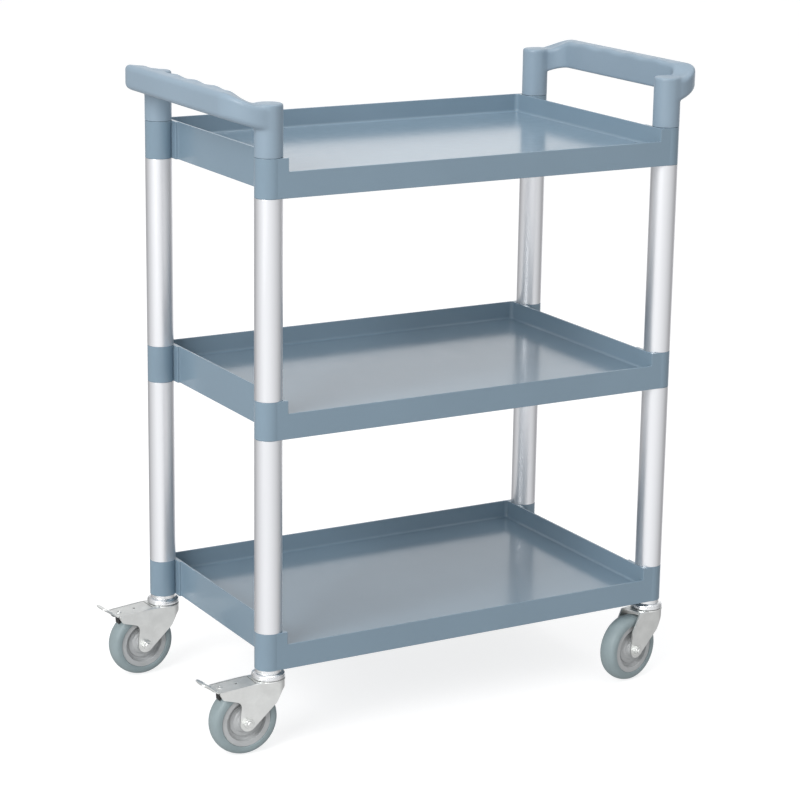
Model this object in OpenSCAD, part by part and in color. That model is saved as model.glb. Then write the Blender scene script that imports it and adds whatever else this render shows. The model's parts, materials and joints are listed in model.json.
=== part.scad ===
// Three-tier spa trolley: three moulded trays on aluminium tube posts, a push handle
// at each end and four swivel casters. The two casters at the left end have a foot brake.
// Millimetres. The origin is the centre of the top tray's deck, +X runs along the
// length, -Y is the front with the low lips and +Z is up.

/* [Trolley] */
// Distance between post centres along the length
post_span_x = 627; // [560:1:760]
// Distance between post centres across the width
post_span_y = 346; // [300:1:420]
// Height from one tray to the next
tray_pitch = 325; // [240:1:400]

/* [Posts] */
// Outside diameter of the posts and of the tray collars
tube_od = 38; // [36:0.5:42]
// Wall of the aluminium tubes
tube_wall = 1.5; // [1.2:0.1:2]
// Length of each moulded spigot inside a tube or a handle leg
spigot_len = 25; // [15:1:30]

/* [Trays] */
// Height of a tray's collars and walls
collar_h = 53.2; // [50:0.2:60]
// Height of the rim above the deck
rim_h = 27; // [24:0.5:30]
// Height of the front lip above the deck
lip_h = 9; // [4:0.5:16]
// Thickness of walls and deck
tray_wall = 3; // [2.5:0.1:4]
// Depth of the stiffening ribs under the deck
rib_depth = 13; // [6:0.5:18]
// Thickness of the stiffening ribs
rib_wall = 2.2; // [1.6:0.1:3]

/* [Handles] */
// Height of a handle leg above its tray collar
leg_h = 70; // [64:1:80]
// Extra height of the grip above the legs
grip_rise = 14; // [6:1:18]
// Distance from the post axis to the outer face of the grip
grip_out = 59; // [54:1:66]
// Width of the grip, outer face to inner face
grip_w = 27; // [24:1:30]
// Height of the grip and its arms, top face to underside
grip_h = 35; // [28:1:38]

/* [Casters] */
// Diameter of the wheels
wheel_d = 98; // [96:1:100]
// Width of the tyres
tyre_w = 28; // [24:1:29]
// Height from the floor to the underside of the bottom collars
caster_h = 117.3; // [116:0.1:124]
// Horizontal distance from the swivel axis to the axle
trail = 38.5; // [37:0.5:40]
// Thickness of the fork's pressed steel
sheet = 2.5; // [2:0.1:2.8]
// Radius of the stem
stem_r = 6; // [5:0.5:7]

/* [Hidden] */
$fn = 96;

// Side along X, side along Y, and the heading of each caster's trail in degrees
FRONT_LEFT = [-1, -1, 179];
BACK_LEFT = [-1, 1, 183];
FRONT_RIGHT = [1, -1, 193];
BACK_RIGHT = [1, 1, 188];

// Colours
TRAY_BLUE = [0.44, 0.52, 0.60];
HANDLE_BLUE = [0.50, 0.58, 0.66];
ALUMINIUM = [0.75, 0.76, 0.77];
ZINC = [0.78, 0.79, 0.76];
CHROME = [0.88, 0.89, 0.90];
TYRE_GREY = [0.53, 0.60, 0.60];
HUB_GREY = [0.63, 0.62, 0.65];
NYLON = [0.20, 0.21, 0.22];
BLACK_RUBBER = [0.08, 0.08, 0.08];

// Clearances between separate pieces
play = 0.1;        // spigot in tube, pieces that only rest on each other
fixed_play = 0.02; // pressed or clamped pieces of one body
run_play = 0.05;   // round pieces that turn in each other
eps = 0.5;         // how far a cutting shape runs past a face
lap = 1;           // how far two shapes of one piece run into each other

// Posts and trays, from the deck
post_x = post_span_x / 2;
post_y = post_span_y / 2;
tube_r = tube_od / 2;
spigot_r = tube_r - tube_wall - play;
spigot_wall = 3.5;
spigot_bore_r = spigot_r - spigot_wall;
collar_top = rim_h;
collar_bottom = rim_h - collar_h;
face_inset = 0.4;                        // long walls sit this far inside the collars' tangent
wall_y = post_y + tube_r - face_inset;   // outer face of the long walls
end_wall_lap = 1.5;                      // the collars reach this far past the end walls
wall_x = post_x - tube_r + end_wall_lap; // outer face of the end walls
web_t = 3.6;                             // the flats beside the collars stand this proud
web_x = wall_x + web_t;
web_len = 27.5;                          // from a post axis to the inner end of its flat
rib_count_x = 7;
rib_count_y = 3;

// Stem sockets in the bottom tray
socket_r = 12;
socket_len = 38;
socket_floor = 4;                // solid plastic left above a socket
stem_len = 35;

// Handles, from the top of the tray collars
grip_in = grip_out - grip_w;
arm_inset = 1.5;                 // the arms are this much narrower than a leg, each side
arm_half_w = tube_r - arm_inset;
outer_corner_r = 50;
inner_corner_r = 24;
leg_edge_r = 4;
rise_start = 6;                  // the arms rise between these distances from the post
rise_end = grip_in + 10;
slope_stop = 6;                  // the underside's slope ends this far inside the grip's face
leg_drop = 3;                    // the underside meets the leg this much lower
leg_steps = 5;

// Casters, from the floor under the swivel axis; x follows the trail
floor_z = collar_bottom - 2 * tray_pitch - caster_h;
axle_h = wheel_d / 2;
crown_gap = 3;
crown_low = wheel_d + crown_gap;
crown_high = crown_low + sheet;
crown_r = 23.5;
fork_in = 16.5;                  // inner face of the fork's legs, from the wheel's middle
fork_out = fork_in + sheet;
through = 2 * fork_out + 2 * lap; // length of a cut through both legs
leg_end_r = 12;
leg_top_lap = 0.5;               // the plain legs stop this far under the crown's top
neck_back = 8;                   // the plain crown's neck ends this far behind the axle
nose_root = 20;                  // where a braked leg's top edge starts to fall
nose_lift = 0.2;
cap_neck_r = 18;
cap_rim_r = 23.3;                // wide rim that covers the crown
cap_rim_h = 6;
cap_rim_taper = 2;
cap_gap = 0.4;
upper_ball_r = 2.4;
upper_ball_count = 16;
upper_track_r = 14;
lower_ball_r = 1.8;
lower_ball_count = 14;
lower_track_r = 10.5;
cap_hollow = 3.2;                // half the width of the hollow that holds the upper balls
track_depth = 0.5;
upper_ball_z = crown_high + upper_ball_r - track_depth;
lower_ball_z = crown_low - lower_ball_r + track_depth;
ball_fn = 32;
stem_head_r = 13.2;
stem_head_h = 3;
rivet_head_r = 8;
rivet_tip_r = 6;
rivet_head_h = 2.6;

// Wheels
tyre_in_r = 36;
hub_rim_r = tyre_in_r - fixed_play;
hub_rim_in_r = 28.5;
tyre_edge = 1.5;                 // small bevel of the tyre's inner edges
hub_half_w = tyre_w / 2 - tyre_edge;
hub_side_gap = 0.3;              // hub to fork leg
tread_half_w = 1.5;
tread_crown = 1.2;               // the tread's middle stands this far above its shoulders
hub_web_half_w = 4.5;
boss_r = 12;
sleeve_r = 6;
bolt_r = 4;
hex_r = 7.5;
head_h = 4;
nut_h = 5.5;
bolt_tail = 2;                   // thread left beyond the nut
shoulder_r = 8;

// Brakes: the pedal is drawn about its pin, with x along the sloping plate
nose_x = 80;
pin_x = 63;
pin_h = 95;
pin_r = 2;
pin_proud = 0.3;                 // riveted ends of the pin, outside the legs
pedal_slope = 4.3;
plate_low = 3.6;
plate_t = 1.6;
plate_half_w = fork_in - 0.6;
plate_high = plate_low + plate_t;
bend_x = 18;                     // where the plate starts to turn up
plate_back = 37;                 // plate length behind the pin
tip_x = 40;
tip_rise = 14;
tip_corner_r = 7;
dimple_x = -15;                  // small hole in the plate behind the pin
dimple_r = 1.5;
ear_in = 8;
ear_t = 1.8;
ear_r = 4;
shoe_half_w = 5.5;
shoe_gap = 1.45;                 // released shoe to tyre
shoe_back = 4;
shoe_front = 13.5;
shoe_drop = 17;                  // shoe height below the plate, at its front
rivet_x = 9.5;
rivet_r = 2;
rivet_len = 5.5;                 // shank below the plate
rivet_dome_r = 4;
rivet_top_r = 2.6;
rivet_dome_h = 1.2;
wire_r = 0.4;
leg_wire_r = 0.3;
coil_turns = 4;
coil_r = pin_r + wire_r + 0.35;  // mean radius of the coil
coil_y = ear_in + ear_t + 1.8;   // middle of the coil
spring_reach = 11;               // length of the rear leg
front_leg_len = 8;
front_leg_angle = 32;
hook_grip = 1.5;                 // how far the hook enters the fork's side

// Points on an arc, for outlines
function arc(cx, cy, r, a0, a1, n) =
    [for (i = [0:n]) [cx + r * cos(a0 + (a1 - a0) * i / n), cy + r * sin(a0 + (a1 - a0) * i / n)]];

// Smooth step from 0 to 1
function ease(t) = t <= 0 ? 0 : t >= 1 ? 1 : t * t * (3 - 2 * t);

module at_post(c) {
    translate([c[0] * post_x, c[1] * post_y, 0]) children();
}

module at_caster(c) {
    translate([c[0] * post_x, c[1] * post_y, floor_z]) rotate([0, 0, c[2]]) children();
}

// A box from its lowest and highest corners
module block(low, high) {
    translate(low) cube(high - low);
}

// An upright ring between two heights
module ring(r_out, r_in, z0, z1) {
    translate([0, 0, z0]) difference() {
        cylinder(r = r_out, h = z1 - z0);
        translate([0, 0, -eps]) cylinder(r = r_in, h = z1 - z0 + 2 * eps);
    }
}

// ---------------------------------------------------------------- posts

// One tube; tier 0 is above the middle tray and tier 1 below it
module tube(c, tier) {
    low = collar_top - (tier + 1) * tray_pitch + fixed_play;
    high = collar_bottom - tier * tray_pitch - fixed_play;
    color(ALUMINIUM) at_post(c) ring(tube_r, tube_r - tube_wall, low, high);
}

// ---------------------------------------------------------------- trays

// Walls and deck, with the front wall cut down to a lip between the end walls
module tray_shell() {
    in_x = wall_x - tray_wall;
    in_y = wall_y - tray_wall;
    difference() {
        block([-wall_x, -wall_y, collar_bottom], [wall_x, wall_y, rim_h]);
        block([-in_x, -in_y, 0], [in_x, in_y, rim_h + eps]);
        block([-in_x, -in_y, collar_bottom - eps], [in_x, in_y, -tray_wall]);
        block([-in_x, -wall_y - eps, lip_h], [in_x, -in_y + eps, rim_h + eps]);
    }
}

// Crossed ribs under the deck
module tray_ribs() {
    in_x = wall_x - tray_wall / 2;
    in_y = wall_y - tray_wall / 2;
    low = -tray_wall - rib_depth;
    high = -tray_wall / 2;
    for (i = [1:rib_count_x]) {
        x = -wall_x + 2 * wall_x * i / (rib_count_x + 1);
        block([x - rib_wall / 2, -in_y, low], [x + rib_wall / 2, in_y, high]);
    }
    for (i = [1:rib_count_y]) {
        y = -wall_y + 2 * wall_y * i / (rib_count_y + 1);
        block([-in_x, y - rib_wall / 2, low], [in_x, y + rib_wall / 2, high]);
    }
}

// A collar in the corner at +X +Y with a spigot above and, except on the bottom tray,
// one below, joined to the walls by a long face and a flat
module tray_corner(spigot_below) {
    low = spigot_below ? collar_bottom - spigot_len : collar_bottom;
    high = collar_top + spigot_len;
    translate([post_x, post_y, collar_bottom]) cylinder(r = tube_r, h = collar_h);
    translate([post_x, post_y, low]) cylinder(r = spigot_r, h = high - low);
    block([wall_x - tray_wall, post_y - web_len, collar_bottom], [web_x, wall_y, rim_h]);
    block([web_x - lap, wall_y - tray_wall, collar_bottom], [post_x, wall_y, rim_h]);
}

// The tray at the given level, with 0 for the top one
module tray(level) {
    last = level == 2;
    color(TRAY_BLUE) translate([0, 0, -level * tray_pitch]) difference() {
        union() {
            tray_shell();
            tray_ribs();
            for (sx = [0, 1], sy = [0, 1])
                mirror([sx, 0, 0]) mirror([0, sy, 0]) tray_corner(!last);
        }
        for (sx = [-1, 1], sy = [-1, 1]) translate([sx * post_x, sy * post_y, 0]) {
            bore_low = collar_bottom + (last ? socket_len + socket_floor : -spigot_len - eps);
            translate([0, 0, bore_low])
                cylinder(r = spigot_bore_r, h = collar_top + spigot_len + eps - bore_low);
            if (last)
                translate([0, 0, collar_bottom - eps]) cylinder(r = socket_r, h = socket_len + eps);
        }
    }
}

// Four nylon sockets pressed into the bottom tray's collars, each holding a caster stem
module stem_sockets() {
    color(NYLON) translate([0, 0, collar_bottom - 2 * tray_pitch])
        for (sx = [-1, 1], sy = [-1, 1]) translate([sx * post_x, sy * post_y, 0])
            ring(socket_r - fixed_play, stem_r + fixed_play, 0, socket_len - fixed_play);
}

// ---------------------------------------------------------------- handles

// Plan of the arms and grip: x runs outboard from the post axis
module handle_plan() {
    half_out = post_y + arm_half_w;
    half_in = post_y - arm_half_w;
    r_out = outer_corner_r;
    r_in = inner_corner_r;
    outside = concat(
        [[0, -half_out]],
        arc(grip_out - r_out, -half_out + r_out, r_out, -90, 0, 9),
        arc(grip_out - r_out, half_out - r_out, r_out, 0, 90, 9),
        [[0, half_out]]);
    inside = concat(
        [[0, half_in]],
        arc(grip_in - r_in, half_in - r_in, r_in, 90, 0, 6),
        arc(grip_in - r_in, -half_in + r_in, r_in, 0, -90, 6),
        [[0, -half_in]]);
    polygon(concat(outside, inside));
}

// Side profile of the arms and grip: the top leaves the leg level and sweeps up to the
// grip, and the underside slopes up evenly
module handle_profile() {
    steps = 10;
    rise = [for (i = [0:steps])
        [rise_start + (rise_end - rise_start) * i / steps, grip_rise * ease(i / steps)]];
    top = concat([[-lap, 0]], rise, [[grip_out + lap, grip_rise]]);
    under = [[grip_out + lap, grip_rise], [grip_out - slope_stop, grip_rise],
        [0, -leg_drop], [-lap, -leg_drop]];
    polygon(concat(
        [for (p = top) [p[0], p[1] + leg_h - fixed_play]],
        [for (p = under) [p[0], p[1] + leg_h - grip_h]]));
}

// A round leg with a softened top edge
module handle_leg() {
    rotate_extrude() polygon(concat(
        [[0, 0], [tube_r, 0]],
        arc(tube_r - leg_edge_r, leg_h - leg_edge_r, leg_edge_r, 0, 90, leg_steps),
        [[0, leg_h]]));
}

// side is -1 for the left handle and 1 for the right one
module handle(side) {
    color(HANDLE_BLUE) translate([side * post_x, 0, collar_top + fixed_play])
        rotate([0, 0, side < 0 ? 180 : 0]) difference() {
            union() {
                intersection() {
                    linear_extrude(leg_h + grip_rise + lap) handle_plan();
                    translate([0, post_y + tube_od, 0]) rotate([90, 0, 0])
                        linear_extrude(2 * (post_y + tube_od)) handle_profile();
                }
                for (sy = [-1, 1]) translate([0, sy * post_y, 0]) handle_leg();
            }
            for (sy = [-1, 1]) translate([0, sy * post_y, -eps])
                cylinder(r = spigot_r + play, h = spigot_len + lap + eps);
        }
}

// ---------------------------------------------------------------- casters

// Stem with the head that carries the lower ball track, riveted over below
module stem() {
    head_top = lower_ball_z - lower_ball_r + track_depth;
    color(ZINC) difference() {
        union() {
            translate([0, 0, head_top - stem_head_h]) cylinder(r = stem_head_r, h = stem_head_h);
            translate([0, 0, head_top - stem_head_h - rivet_head_h])
                cylinder(r1 = rivet_tip_r, r2 = rivet_head_r, h = rivet_head_h + lap);
            translate([0, 0, head_top - lap])
                cylinder(r = stem_r, h = caster_h + stem_len - head_top + lap);
        }
        ball_track(lower_track_r, lower_ball_r, lower_ball_z);
    }
}

// A groove whose section is a little larger than the balls that run in it
module ball_track(track_r, ball_r, z) {
    translate([0, 0, z]) rotate_extrude() translate([track_r, 0]) circle(r = ball_r + run_play);
}

// Bright cup under the collar that covers the upper balls
module race_cap() {
    low = crown_high + cap_gap;
    high = caster_h - fixed_play;
    color(CHROME) difference() {
        union() {
            translate([0, 0, low]) cylinder(r = cap_neck_r, h = high - low);
            translate([0, 0, low]) cylinder(r = cap_rim_r, h = cap_rim_h);
            translate([0, 0, low + cap_rim_h - eps])
                cylinder(r1 = cap_rim_r, r2 = cap_rim_r - cap_rim_taper, h = cap_rim_taper);
        }
        translate([0, 0, low - eps]) cylinder(r = stem_r + fixed_play, h = high - low + 2 * eps);
        ring(upper_track_r + cap_hollow, upper_track_r - cap_hollow, low - eps,
            upper_ball_z + upper_ball_r - track_depth);
        ball_track(upper_track_r, upper_ball_r, upper_ball_z);
    }
}

module ball_ring(track_r, ball_r, count, z) {
    for (i = [1:count]) rotate([0, 0, 360 * i / count]) translate([track_r, 0, z])
        sphere(r = ball_r, $fn = ball_fn);
}

// Both rows of balls, above and below the crown
module balls() {
    color(CHROME) {
        ball_ring(upper_track_r, upper_ball_r, upper_ball_count, upper_ball_z);
        ball_ring(lower_track_r, lower_ball_r, lower_ball_count, lower_ball_z);
    }
}

// The edge behind the axle, shared by both kinds of leg, from the crown down
function leg_back() = [[-16, crown_high - leg_top_lap], [-12.5, 86], [-1.5, 70.5]];

// The round end about the axle
function leg_end() = arc(trail, axle_h, leg_end_r, 225, 360, 12);

// Outline of a plain leg
function plain_leg() = concat(leg_back(), leg_end(), [
    [trail + 9, axle_h + 28],
    [trail - 2, crown_low - 5],
    [trail - neck_back, crown_high - leg_top_lap]]);

// Outline of a leg that runs forward into a nose carrying the brake; the nose's top
// edge falls at the pedal's slope from just in front of the crown
function brake_leg() = concat(leg_back(), leg_end(),
    [[trail + 10, 71]],
    arc(nose_x - 22.5, 73, 9, 180, 110, 5), [
    [nose_x - 4, 88.5],
    [nose_x + 0.5, 97.5],
    [nose_x - 0.5, crown_high + nose_lift - (nose_x - nose_root) * tan(pedal_slope)],
    [nose_root, crown_high + nose_lift],
    [0, crown_high - nose_lift]]);

// Pressed steel fork: a round crown and two legs
module fork(braked) {
    neck_x = braked ? crown_r + lap : trail - neck_back;
    color(ZINC) difference() {
        union() {
            translate([0, 0, crown_low]) cylinder(r = crown_r, h = sheet);
            block([0, -fork_out, crown_low], [neck_x, fork_out, crown_high]);
            for (s = [-1, 1]) translate([0, s * (fork_in + sheet / 2) + sheet / 2, 0])
                rotate([90, 0, 0]) linear_extrude(sheet) polygon(braked ? brake_leg() : plain_leg());
        }
        translate([0, 0, crown_low - eps]) cylinder(r = stem_r + run_play, h = sheet + 2 * eps);
        ball_track(upper_track_r, upper_ball_r, upper_ball_z);
        ball_track(lower_track_r, lower_ball_r, lower_ball_z);
        across(trail, axle_h) cylinder(r = bolt_r + play, h = through, center = true);
        if (braked) {
            across(pin_x, pin_h) cylinder(r = pin_r + fixed_play, h = through, center = true);
            spring_hook_place() cylinder(r = wire_r + play, h = 3 * sheet, center = true);
        }
    }
}

// Turns upright shapes to lie across the fork, on an axis at the given place
module across(x, h) {
    translate([x, 0, h]) rotate([-90, 0, 0]) children();
}

module axle_bolt() {
    color(ZINC) across(trail, axle_h) {
        translate([0, 0, -fork_out - fixed_play])
            cylinder(r = bolt_r, h = 2 * fork_out + nut_h + bolt_tail);
        translate([0, 0, -fork_out - head_h - fixed_play])
            cylinder(r = hex_r, h = head_h, $fn = 6);
    }
}

module axle_nut() {
    color(ZINC) across(trail, axle_h) translate([0, 0, fork_out + fixed_play]) difference() {
        cylinder(r = hex_r, h = nut_h, $fn = 6);
        translate([0, 0, -eps]) cylinder(r = bolt_r + fixed_play, h = nut_h + 2 * eps);
    }
}

// Steel sleeve clamped between the legs, on which the wheel turns
module axle_sleeve() {
    half = fork_in - fixed_play;
    color(CHROME) across(trail, axle_h) ring(sleeve_r, bolt_r + fixed_play, -half, half);
}

// Plastic wheel centre: a boss, a web and a rim
module hub() {
    half = fork_in - hub_side_gap;
    color(HUB_GREY) across(trail, axle_h) difference() {
        union() {
            translate([0, 0, -half]) cylinder(r = boss_r, h = 2 * half);
            translate([0, 0, -hub_web_half_w]) cylinder(r = hub_rim_in_r + lap, h = 2 * hub_web_half_w);
            ring(hub_rim_r, hub_rim_in_r, -hub_half_w, hub_half_w);
        }
        translate([0, 0, -half - eps]) cylinder(r = sleeve_r + run_play, h = 2 * half + 2 * eps);
    }
}

// Rubber tyre with round shoulders
module tyre() {
    r = wheel_d / 2;
    half = tyre_w / 2;
    arc_r = r - tread_crown - shoulder_r;
    color(TYRE_GREY) across(trail, axle_h) rotate_extrude() polygon(concat(
        [[tyre_in_r, -half + tyre_edge], [tyre_in_r + tyre_edge, -half]],
        arc(arc_r, -half + shoulder_r, shoulder_r, -90, -20, 7),
        [[r, -tread_half_w], [r, tread_half_w]],
        arc(arc_r, half - shoulder_r, shoulder_r, 20, 90, 7),
        [[tyre_in_r + tyre_edge, half], [tyre_in_r, half - tyre_edge]]));
}

// ---------------------------------------------------------------- brakes

module at_pedal() {
    translate([pin_x, 0, pin_h]) rotate([0, pedal_slope, 0]) children();
}

// Lies a side view drawn in x and z across the fork, with the given half width
module slab(half) {
    translate([0, half, 0]) rotate([90, 0, 0]) linear_extrude(2 * half) children();
}

// Side view of the pedal's plate, turned up at the tip
module pedal_side() {
    polygon([
        [-plate_back, plate_low],
        [bend_x + 0.5, plate_low],
        [bend_x + 6.5, plate_low + 1.8],
        [tip_x + 0.7, plate_low + tip_rise - 0.8],
        [tip_x - 0.3, plate_low + tip_rise + 0.6],
        [bend_x + 5.8, plate_high + 2],
        [bend_x - 0.2, plate_high],
        [-plate_back, plate_high]]);
}

// Plan of the pedal, with a rounded tip
module pedal_plan() {
    tip_half_w = plate_half_w - 1.5;
    corner_x = tip_x + lap - tip_corner_r;
    corner_y = tip_half_w - tip_corner_r;
    polygon(concat(
        [[-plate_back - lap, -plate_half_w], [bend_x, -plate_half_w]],
        arc(corner_x, -corner_y, tip_corner_r, -80, 0, 6),
        arc(corner_x, corner_y, tip_corner_r, 0, 80, 6),
        [[bend_x, plate_half_w], [-plate_back - lap, plate_half_w]]));
}

// One ear of the pedal, seen from the side
module pedal_ear() {
    polygon(concat(
        [[-ear_r - 1.5, plate_low + eps]],
        arc(0, 0, ear_r, 180, 360, 10),
        [[ear_r + 1.5, plate_low + eps]]));
}

// Foot pedal: a plate between the fork's sides, with two ears on the pin
module brake_pedal() {
    color(ZINC) at_pedal() difference() {
        union() {
            intersection() {
                slab(plate_half_w + lap) pedal_side();
                linear_extrude(2 * tip_rise) pedal_plan();
            }
            for (s = [-1, 1]) translate([0, s * (ear_in + ear_t / 2), 0]) slab(ear_t / 2) pedal_ear();
        }
        across(0, 0) cylinder(r = pin_r + run_play, h = 2 * fork_in, center = true);
        translate([rivet_x, 0, plate_low - eps])
            cylinder(r = rivet_r + fixed_play, h = plate_t + 2 * eps);
        translate([dimple_x, 0, plate_low - eps]) cylinder(r = dimple_r, h = plate_t + 2 * eps);
    }
}

// Black rubber block under the plate, hollowed to the tyre's curve
module brake_shoe() {
    color(BLACK_RUBBER) difference() {
        at_pedal() block([shoe_back, -shoe_half_w, plate_low - shoe_drop],
            [shoe_front, shoe_half_w, plate_low - fixed_play]);
        across(trail, axle_h) cylinder(r = wheel_d / 2 + shoe_gap, h = 3 * shoe_half_w, center = true);
        at_pedal() translate([rivet_x, 0, plate_low - rivet_len - eps])
            cylinder(r = rivet_r + fixed_play, h = rivet_len + 2 * eps);
    }
}

// Rivet that holds the shoe to the plate
module shoe_rivet() {
    color(ZINC) at_pedal() translate([rivet_x, 0, 0]) {
        translate([0, 0, plate_low - rivet_len])
            cylinder(r = rivet_r, h = rivet_len + plate_t + rivet_dome_h / 2);
        translate([0, 0, plate_high + fixed_play])
            cylinder(r1 = rivet_dome_r, r2 = rivet_top_r, h = rivet_dome_h);
    }
}

module brake_pin() {
    color(ZINC) across(pin_x, pin_h) cylinder(r = pin_r, h = 2 * (fork_out + pin_proud), center = true);
}

// Where the spring's rear leg turns out through the fork's side
module spring_hook_place() {
    across(pin_x - spring_reach, pin_h + coil_r) translate([0, 0, fork_in + sheet / 2]) children();
}

// A straight leg of the spring, running forward from the given place
module spring_leg(x, y, z, length) {
    translate([x, y, z]) rotate([0, 90, 0]) cylinder(r = leg_wire_r, h = length);
}

// Torsion spring around the pin, with one leg to the fork and one under the plate
module brake_spring() {
    half_coil = (coil_turns - 1) * wire_r;
    rear_y = coil_y + half_coil;
    front_y = coil_y - half_coil;
    color(CHROME) {
        across(pin_x, pin_h)
            ring(coil_r + wire_r, coil_r - wire_r, front_y - wire_r, rear_y + wire_r);
        spring_leg(pin_x + coil_r * cos(front_leg_angle), front_y,
            pin_h + coil_r * sin(front_leg_angle), front_leg_len);
        spring_leg(pin_x - spring_reach, rear_y, pin_h + coil_r, spring_reach);
        across(pin_x - spring_reach, pin_h + coil_r) translate([0, 0, rear_y - wire_r])
            cylinder(r = wire_r, h = fork_in + hook_grip - rear_y + wire_r);
    }
}

// ---------------------------------------------------------------- nodes

tray(0);  // top_tray
tray(1);  // middle_tray
tray(2);  // bottom_tray
handle(-1);  // left_handle
handle(1);  // right_handle
stem_sockets();

tube(FRONT_LEFT, 0);  // upper_tube_front_left
tube(BACK_LEFT, 0);  // upper_tube_back_left
tube(FRONT_RIGHT, 0);  // upper_tube_front_right
tube(BACK_RIGHT, 0);  // upper_tube_back_right
tube(FRONT_LEFT, 1);  // lower_tube_front_left
tube(BACK_LEFT, 1);  // lower_tube_back_left
tube(FRONT_RIGHT, 1);  // lower_tube_front_right
tube(BACK_RIGHT, 1);  // lower_tube_back_right

at_caster(FRONT_LEFT) stem();  // front_left_stem
at_caster(FRONT_LEFT) race_cap();  // front_left_race_cap
at_caster(FRONT_LEFT) balls();  // front_left_balls
at_caster(FRONT_LEFT) fork(true);  // front_left_fork
at_caster(FRONT_LEFT) axle_bolt();  // front_left_axle_bolt
at_caster(FRONT_LEFT) axle_nut();  // front_left_axle_nut
at_caster(FRONT_LEFT) axle_sleeve();  // front_left_axle_sleeve
at_caster(FRONT_LEFT) hub();  // front_left_hub
at_caster(FRONT_LEFT) tyre();  // front_left_tyre
at_caster(FRONT_LEFT) brake_pedal();  // front_left_brake_pedal
at_caster(FRONT_LEFT) brake_shoe();  // front_left_brake_shoe
at_caster(FRONT_LEFT) brake_pin();  // front_left_brake_pin
at_caster(FRONT_LEFT) brake_spring();  // front_left_brake_spring
at_caster(FRONT_LEFT) shoe_rivet();  // front_left_shoe_rivet

at_caster(BACK_LEFT) stem();  // back_left_stem
at_caster(BACK_LEFT) race_cap();  // back_left_race_cap
at_caster(BACK_LEFT) balls();  // back_left_balls
at_caster(BACK_LEFT) fork(true);  // back_left_fork
at_caster(BACK_LEFT) axle_bolt();  // back_left_axle_bolt
at_caster(BACK_LEFT) axle_nut();  // back_left_axle_nut
at_caster(BACK_LEFT) axle_sleeve();  // back_left_axle_sleeve
at_caster(BACK_LEFT) hub();  // back_left_hub
at_caster(BACK_LEFT) tyre();  // back_left_tyre
at_caster(BACK_LEFT) brake_pedal();  // back_left_brake_pedal
at_caster(BACK_LEFT) brake_shoe();  // back_left_brake_shoe
at_caster(BACK_LEFT) brake_pin();  // back_left_brake_pin
at_caster(BACK_LEFT) brake_spring();  // back_left_brake_spring
at_caster(BACK_LEFT) shoe_rivet();  // back_left_shoe_rivet

at_caster(FRONT_RIGHT) stem();  // front_right_stem
at_caster(FRONT_RIGHT) race_cap();  // front_right_race_cap
at_caster(FRONT_RIGHT) balls();  // front_right_balls
at_caster(FRONT_RIGHT) fork(false);  // front_right_fork
at_caster(FRONT_RIGHT) axle_bolt();  // front_right_axle_bolt
at_caster(FRONT_RIGHT) axle_nut();  // front_right_axle_nut
at_caster(FRONT_RIGHT) axle_sleeve();  // front_right_axle_sleeve
at_caster(FRONT_RIGHT) hub();  // front_right_hub
at_caster(FRONT_RIGHT) tyre();  // front_right_tyre

at_caster(BACK_RIGHT) stem();  // back_right_stem
at_caster(BACK_RIGHT) race_cap();  // back_right_race_cap
at_caster(BACK_RIGHT) balls();  // back_right_balls
at_caster(BACK_RIGHT) fork(false);  // back_right_fork
at_caster(BACK_RIGHT) axle_bolt();  // back_right_axle_bolt
at_caster(BACK_RIGHT) axle_nut();  // back_right_axle_nut
at_caster(BACK_RIGHT) axle_sleeve();  // back_right_axle_sleeve
at_caster(BACK_RIGHT) hub();  // back_right_hub
at_caster(BACK_RIGHT) tyre();  // back_right_tyre
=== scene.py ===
import json
import math

import bmesh
import bpy
import numpy as np
from mathutils import Matrix, Vector

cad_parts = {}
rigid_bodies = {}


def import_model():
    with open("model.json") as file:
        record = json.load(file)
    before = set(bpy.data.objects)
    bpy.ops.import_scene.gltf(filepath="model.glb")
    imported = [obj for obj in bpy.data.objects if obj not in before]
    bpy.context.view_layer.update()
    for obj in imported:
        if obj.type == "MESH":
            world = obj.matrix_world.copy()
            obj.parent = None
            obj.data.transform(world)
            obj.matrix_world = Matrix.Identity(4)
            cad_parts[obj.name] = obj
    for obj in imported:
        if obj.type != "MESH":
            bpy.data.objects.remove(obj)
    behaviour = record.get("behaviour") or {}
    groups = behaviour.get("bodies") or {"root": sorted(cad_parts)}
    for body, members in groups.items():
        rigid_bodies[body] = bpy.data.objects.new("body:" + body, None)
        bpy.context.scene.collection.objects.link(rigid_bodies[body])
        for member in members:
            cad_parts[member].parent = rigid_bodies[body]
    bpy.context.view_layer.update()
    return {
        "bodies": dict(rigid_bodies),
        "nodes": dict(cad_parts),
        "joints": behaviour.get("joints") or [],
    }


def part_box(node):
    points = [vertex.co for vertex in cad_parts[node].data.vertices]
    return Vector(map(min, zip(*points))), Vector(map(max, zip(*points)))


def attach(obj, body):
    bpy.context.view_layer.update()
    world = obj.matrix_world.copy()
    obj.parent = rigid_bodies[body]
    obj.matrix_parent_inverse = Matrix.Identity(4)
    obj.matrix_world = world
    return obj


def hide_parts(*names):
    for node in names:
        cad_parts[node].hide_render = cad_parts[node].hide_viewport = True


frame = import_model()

# Shapes are drawn in millimetres and scaled to metres when they become pieces.
MM = 0.001
JOINTS = {j["name"]: j for j in frame["joints"]}
NODES = frame["nodes"]


def box_mm(node):
    low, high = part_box(node)
    return low / MM, high / MM


# ------------------------------------------------------------ sizes read from the frame

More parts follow.
